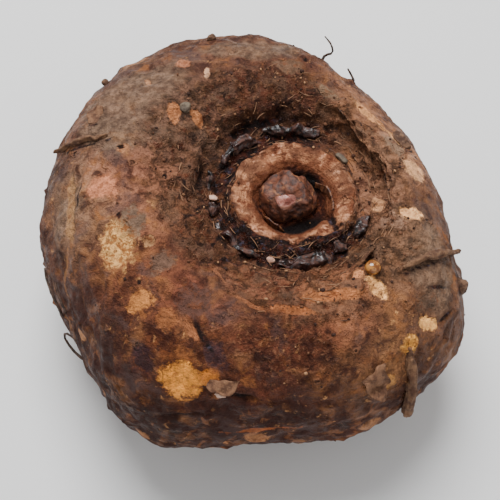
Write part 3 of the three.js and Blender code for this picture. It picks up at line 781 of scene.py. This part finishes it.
m = Finish("bud_scale")
vein = m.noise(6, 4, m.stretched(m.place, (3, 3, 0.6)), rough=0.6)
colour = m.blend(m.step(vein, 0.38, 0.62), rgb(62, 33, 23), rgb(128, 82, 54))
colour = m.blend(0.6 * m.step(m.noise(2.4, 3), 0.56, 0.7), colour, rgb(44, 22, 16))
m.relief(vein, 0.7, 0.9)
bud_scale = m.finish(colour, 0.5, Specular_IOR_Level=0.5)
for name in ("bud_scale_left", "bud_scale_right"):
    weathered(name, 0.28, bud_scale, 0.15, [(4, 0.45), (1.8, 0.22)], 3)

# ---------------------------------------------------------------------------------------------
# Remains of the leaf sheath. Blackened leathery plates left standing in the collar round the
# stalk's scar, folded, torn along the top and glossy where they are still moist.
# ---------------------------------------------------------------------------------------------

m = Finish("sheath")
patch, crease_grain = m.noise(4, 4, rough=0.6), m.noise(1.6, 3)
colour = m.blend(m.step(patch, 0.42, 0.62), rgb(16, 9, 9), rgb(62, 34, 28))
# Blue-grey flecks of painted sheen.
colour = m.blend(0.4 * m.step(m.noise(3, 3), 0.6, 0.7), colour, rgb(60, 58, 72))
colour = m.blend(0.85 * m.step(m.noise(5, 6, rough=0.7), 0.5, 0.6), colour, rgb(88, 52, 38))
colour = m.blend(0.5 * m.step(crease_grain, 0.6, 0.72), colour, rgb(136, 92, 66))
m.relief(patch + 0.4 * crease_grain, 1.0, 0.8)
sheath = m.finish(colour, 0.34 + 0.5 * m.step(m.noise(5, 3), 0.42, 0.62), Specular_IOR_Level=0.7)


def plate(co, mesh):
    """Broad and folded: thicker outwards from the crater's axis, creased lengthwise."""
    normals = np.zeros(co.size)
    mesh.vertices.foreach_get("normal", normals)
    away = co - np.array([CRATER[0], CRATER[1], 0]) - MOVE
    away[:, 2] = 0
    away /= np.linalg.norm(away, axis=1, keepdims=True)
    broad = np.abs((normals.reshape(-1, 3) * away).sum(1))
    creases = 0.3 - np.abs(grain(co, 5, 81))
    return 0.9 * broad + 2.0 * creases - 0.3


SHEATH_SWELL = {
    "bottom": 0.9, "lower_right": 0.3, "lower_left": 0.1, "left_lower": 0, "left_upper": 0,
    "upper_left": 0.2, "top": 0, "right": 0.4,
}
SHEATH_ROUGH = [(8, 0.8), (3, 0.5), (1.4, 0.25)]
for part, swell in SHEATH_SWELL.items():
    node = "sheath_remnant_" + part
    weathered(node, 0.36, sheath, swell, SHEATH_ROUGH, 8, plate, 2.6)
# ---------------------------------------------------------------------------------------------
# Root stumps. Three thick dried roots that lie against the shoulder, shrivelled along their
# length and caked with the same brown film as the skin.
# ---------------------------------------------------------------------------------------------


def bark(name, dark, light, film, roughness=0.85, scale=1.0, bump=0.9):
    """A dull, mottled, finely wrinkled brown finish."""
    m = Finish(name)
    wide, close = m.noise(5 * scale, 4, rough=0.6), m.noise(1.5 * scale, 4, rough=0.65)
    colour = m.blend(m.step(wide, 0.38, 0.62), rgb(*dark), rgb(*light))
    colour = m.blend(0.55 * m.step(close, 0.54, 0.7), colour, rgb(*film))
    colour = m.blend(0.6 * m.step(m.noise(0.9 * scale, 2), 0.6, 0.72), colour, rgb(38, 21, 15))
    m.relief(wide + 0.8 * close, bump, 0.9)
    return m.finish(colour, roughness, Specular_IOR_Level=0.35)


def strap(co, mesh):
    """Shrunken flat and wrinkled along its length."""
    normals = np.zeros(co.size)
    mesh.vertices.foreach_get("normal", normals)
    middle = co - co.mean(0)
    axes = np.linalg.svd(middle[:: max(1, len(co) // 3000)], full_matrices=False)[2]
    flat = np.abs(normals.reshape(-1, 3) @ axes[2]) ** 2
    place = middle @ axes.T
    wrinkles = 0.3 - np.abs(grain(place * np.array([0.16, 1, 1]), 2.4, 71))
    return 1.1 * wrinkles - 1.1 * flat + 0.5 * grain(place, 9, 72)


root_skin = bark("root_skin", (84, 55, 40), (126, 92, 66), (150, 118, 90))
for name in ("root_left", "root_right", "root_lower"):
    weathered(name, 0.4, root_skin, -0.2, [(3, 0.12)], 4, strap, 1.4)

# ---------------------------------------------------------------------------------------------
# Hair roots. Wiry dark threads, dried stiff, that still stand out from the skin at the back and
# hang along the left flank.
# ---------------------------------------------------------------------------------------------

hair_root = bark("hair_root", (40, 27, 21), (84, 62, 50), (110, 86, 70), 0.7, 0.6, 0.3)
for part in ("top", "top_small", "left_long", "left_short", "loop"):
    weathered("hair_root_" + part, 0.2, hair_root, 0.05, [(2.5, 0.14), (1, 0.06)], 2)

# ---------------------------------------------------------------------------------------------
# Cormels and rootlet nubs. Small rounded offsets and broken rootlet ends, seated in the skin.
# ---------------------------------------------------------------------------------------------

cormel_skin = bark("cormel_skin", (70, 47, 36), (122, 90, 68), (142, 112, 90))
for name in ("cormel_right", "cormel_upper_right", "root_nub_upper_left", "root_nub_top"):
    weathered(name, 0.35, cormel_skin, 0.4, [(4, 0.7), (1.8, 0.35)], 4, None, 1.2)

# ---------------------------------------------------------------------------------------------
# Grit, flakes and sap caught on the skin. Two stones, three crumbs of pale dried flesh, and one
# bead of hardened amber sap under a curl of skin.
# ---------------------------------------------------------------------------------------------

stone = bark("stone", (76, 64, 54), (110, 96, 80), (134, 118, 98), 0.75, 1.0, 0.4)
for name in ("stone_grey", "stone_chip"):
    weathered(name, 0.25, stone, 0.35, [(3, 0.4), (1.2, 0.15)], 3)
flesh_chip = bark("flesh", (170, 124, 102), (214, 176, 154), (228, 200, 182), 0.55, 0.8, 0.4)
for name in ("flesh_chip_left", "flesh_chip_lower", "flesh_chip_front"):
    weathered(name, 0.22, flesh_chip, 0.1, [(2.4, 0.6), (1, 0.2)], 3, None, 1.6)
m = Finish("sap")
colour = m.blend(m.step(m.noise(2.6, 3), 0.4, 0.62), rgb(116, 66, 26), rgb(184, 124, 58))
m.relief(m.noise(2, 2), 0.3, 0.5)
sap = m.finish(colour, 0.18, Specular_IOR_Level=0.7)
weathered("sap_bead", 0.25, sap, 0.5, [(3, 0.25)], 4)

# ---------------------------------------------------------------------------------------------
# Curls of loose skin. Papery flakes of the corky skin that have lifted and rolled at the edge.
# ---------------------------------------------------------------------------------------------

loose_skin = bark("loose_skin", (84, 54, 38), (130, 92, 66), (150, 114, 84), 0.8, 0.9, 0.6)
for name in ("skin_curl_right", "skin_curl_lower", "skin_curl_front", "skin_curl_upper_left"):
    weathered(name, 0.26, loose_skin, 0.05, [(6, 0.9), (2.6, 0.4)], 2, None, 3.2)

# ---------------------------------------------------------------------------------------------
# Crumbs of earth and torn fibres. Loose grains lie in the crater and on the coarse patch of the
# front shoulder; short dry fibres are the rest of the rotted stalk.
# ---------------------------------------------------------------------------------------------


def tossed(count, weights, seed):
    """Places and outward directions on the skin, chosen at random by weight."""
    chooser = np.random.default_rng(seed)
    flat = (weights * (0.3 + rho / 100)).ravel()
    picks = chooser.choice(flat.size, count, p=flat / flat.sum())
    return SKIN.reshape(-1, 3)[picks], N.reshape(-1, 3)[picks], chooser


CRUMBS = 1000
crumbly = np.clip(funnel + 0.8 * grit * (rho > 60) + 1.2 * collar + 0.03 * top, 0, 2) * top
places, outwards, chooser = tossed(CRUMBS, crumbly, 5)
crumbs = bmesh.new()
tones = []
for place, outward in zip(places, outwards):
    size = 0.28 + 0.75 * chooser.random() ** 2.5
    made = bmesh.ops.create_icosphere(crumbs, subdivisions=1, radius=1)["verts"]
    squash = chooser.uniform(0.55, 1.3, 3)
    tone_here = chooser.random()
    for v in made:
        jitter = 1 + chooser.uniform(-0.22, 0.22)
        v.co = Vector(place + outward * size * 0.35 + np.array(v.co) * squash * size * jitter) / 1000
        tones.append(tone_here)
crumb_mesh = bpy.data.meshes.new("crumbs")
crumbs.to_mesh(crumb_mesh)
crumbs.free()
per_point(crumb_mesh, "tone", tones)
m = Finish("earth")
tone = m.stored("tone")
colour = m.blend(m.step(tone, 0.1, 0.7), rgb(52, 29, 20), rgb(108, 70, 47))
colour = m.blend(m.step(tone, 0.88, 0.97), colour, rgb(168, 124, 88))
m.relief(m.noise(0.6, 2), 0.3, 0.8)
crumb_mesh.materials.append(m.finish(colour, 0.85, Specular_IOR_Level=0.4))
crumb_mesh.polygons.foreach_set("use_smooth", [True] * len(crumb_mesh.polygons))
crumb_piece = bpy.data.objects.new("earth_crumbs", crumb_mesh)
bpy.context.scene.collection.objects.link(crumb_piece)
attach(crumb_piece, "root")

FIBRES = 260
SIDES = [k * math.pi / 2 for k in range(4)]
BENDS = 6
fibrous = np.clip(funnel * ease(70, 42, rho) + 1.5 * collar + 0.25 * funnel, 0, 2)
places, outwards, chooser = tossed(FIBRES, fibrous, 8)
threads = bmesh.new()
for place, outward in zip(places, outwards):
    away = place - np.array([CRATER[0], CRATER[1], place[2]]) - np.array([MOVE[0], MOVE[1], 0])
    along = np.cross(outward, away)
    along = along / (np.linalg.norm(along) + 1e-9) + chooser.normal(0, 0.45, 3)
    along -= outward * (along @ outward)
    along /= np.linalg.norm(along)
    side = np.cross(along, outward)
    length, thick, bow = chooser.uniform(3, 9), chooser.uniform(0.12, 0.3), chooser.uniform(-0.25, 0.25)
    ends = []
    for k in range(BENDS + 1):
        s = k / BENDS - 0.5
        lifted = 0.35 + 1.1 * abs(s) ** 2 * chooser.uniform(0, 2) - 0.9 * s * s
        middle = place + along * length * s + side * length * bow * (s * s - 0.1) * 2 + outward * lifted
        width = thick * (1 - 1.6 * s * s)
        rim_points = [middle + width * (math.cos(a) * side + math.sin(a) * outward) for a in SIDES]
        ends.append([threads.verts.new(Vector(q) / 1000) for q in rim_points])
    for a, b in zip(ends, ends[1:]):
        for k in range(4):
            threads.faces.new((a[k], a[(k + 1) % 4], b[(k + 1) % 4], b[k]))
    threads.faces.new(ends[0][::-1])
    threads.faces.new(ends[-1])
bmesh.ops.recalc_face_normals(threads, faces=threads.faces)
thread_mesh = bpy.data.meshes.new("fibres")
threads.to_mesh(thread_mesh)
threads.free()
thread_mesh.polygons.foreach_set("use_smooth", [True] * len(thread_mesh.polygons))
m = Finish("fibre")
colour = m.blend(m.step(m.noise(9, 3), 0.36, 0.62), rgb(66, 40, 28), rgb(152, 112, 82))
thread_mesh.materials.append(m.finish(colour, 0.75, Specular_IOR_Level=0.4))
thread_piece = bpy.data.objects.new("stalk_fibres", thread_mesh)
bpy.context.scene.collection.objects.link(thread_piece)
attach(thread_piece, "root")

# ---------------------------------------------------------------------------------------------
# The stand: a plain pale floor, soft light from above and behind, and the camera.
# ---------------------------------------------------------------------------------------------

FLOOR_DROP = -0.0002
FLOOR_CORNERS = [(-3, -3), (3, -3), (3, 3), (-3, 3)]  # metres
floor_mesh = bpy.data.meshes.new("floor")
floor_mesh.from_pydata([(x, y, FLOOR_DROP) for x, y in FLOOR_CORNERS], [], [(0, 1, 2, 3)])
m = Finish("floor")
floor_mesh.materials.append(m.finish((0.9, 0.9, 0.9, 1), 0.9))
floor = bpy.data.objects.new("floor", floor_mesh)
bpy.context.scene.collection.objects.link(floor)

world = bpy.data.worlds.new("studio")
bpy.context.scene.world = world
world.use_nodes = True
world.node_tree.nodes["Background"].inputs["Color"].default_value = (1, 1, 1, 1)
world.node_tree.nodes["Background"].inputs["Strength"].default_value = 0.45


def lamp(name, place, size, power, aim=(0, 0, 0.08)):
    light = bpy.data.lights.new(name, "AREA")
    light.shape = "DISK"
    light.size = size
    light.energy = power
    stand = bpy.data.objects.new(name, light)
    stand.location = place
    stand.rotation_mode = "QUATERNION"
    stand.rotation_quaternion = (Vector(aim) - Vector(place)).to_track_quat("-Z", "Y")
    bpy.context.scene.collection.objects.link(stand)


lamp("sky", (-0.1, 0.42, 1.15), 0.7, 20)
lamp("front", (0.5, -0.9, 0.9), 1.2, 3)

ELEVATION = math.radians(62)
aim = Vector((MOVE[0] / 1000, MOVE[1] / 1000, 0.06))
camera_data = bpy.data.cameras.new("camera")
camera_data.lens = 70
camera_data.sensor_width = 36
camera = bpy.data.objects.new("camera", camera_data)
camera.location = aim + Vector((0, -math.cos(ELEVATION), math.sin(ELEVATION))) * 0.54
camera.rotation_mode = "QUATERNION"
camera.rotation_quaternion = (aim - camera.location).to_track_quat("-Z", "Y")
bpy.context.scene.collection.objects.link(camera)
bpy.context.scene.camera = camera
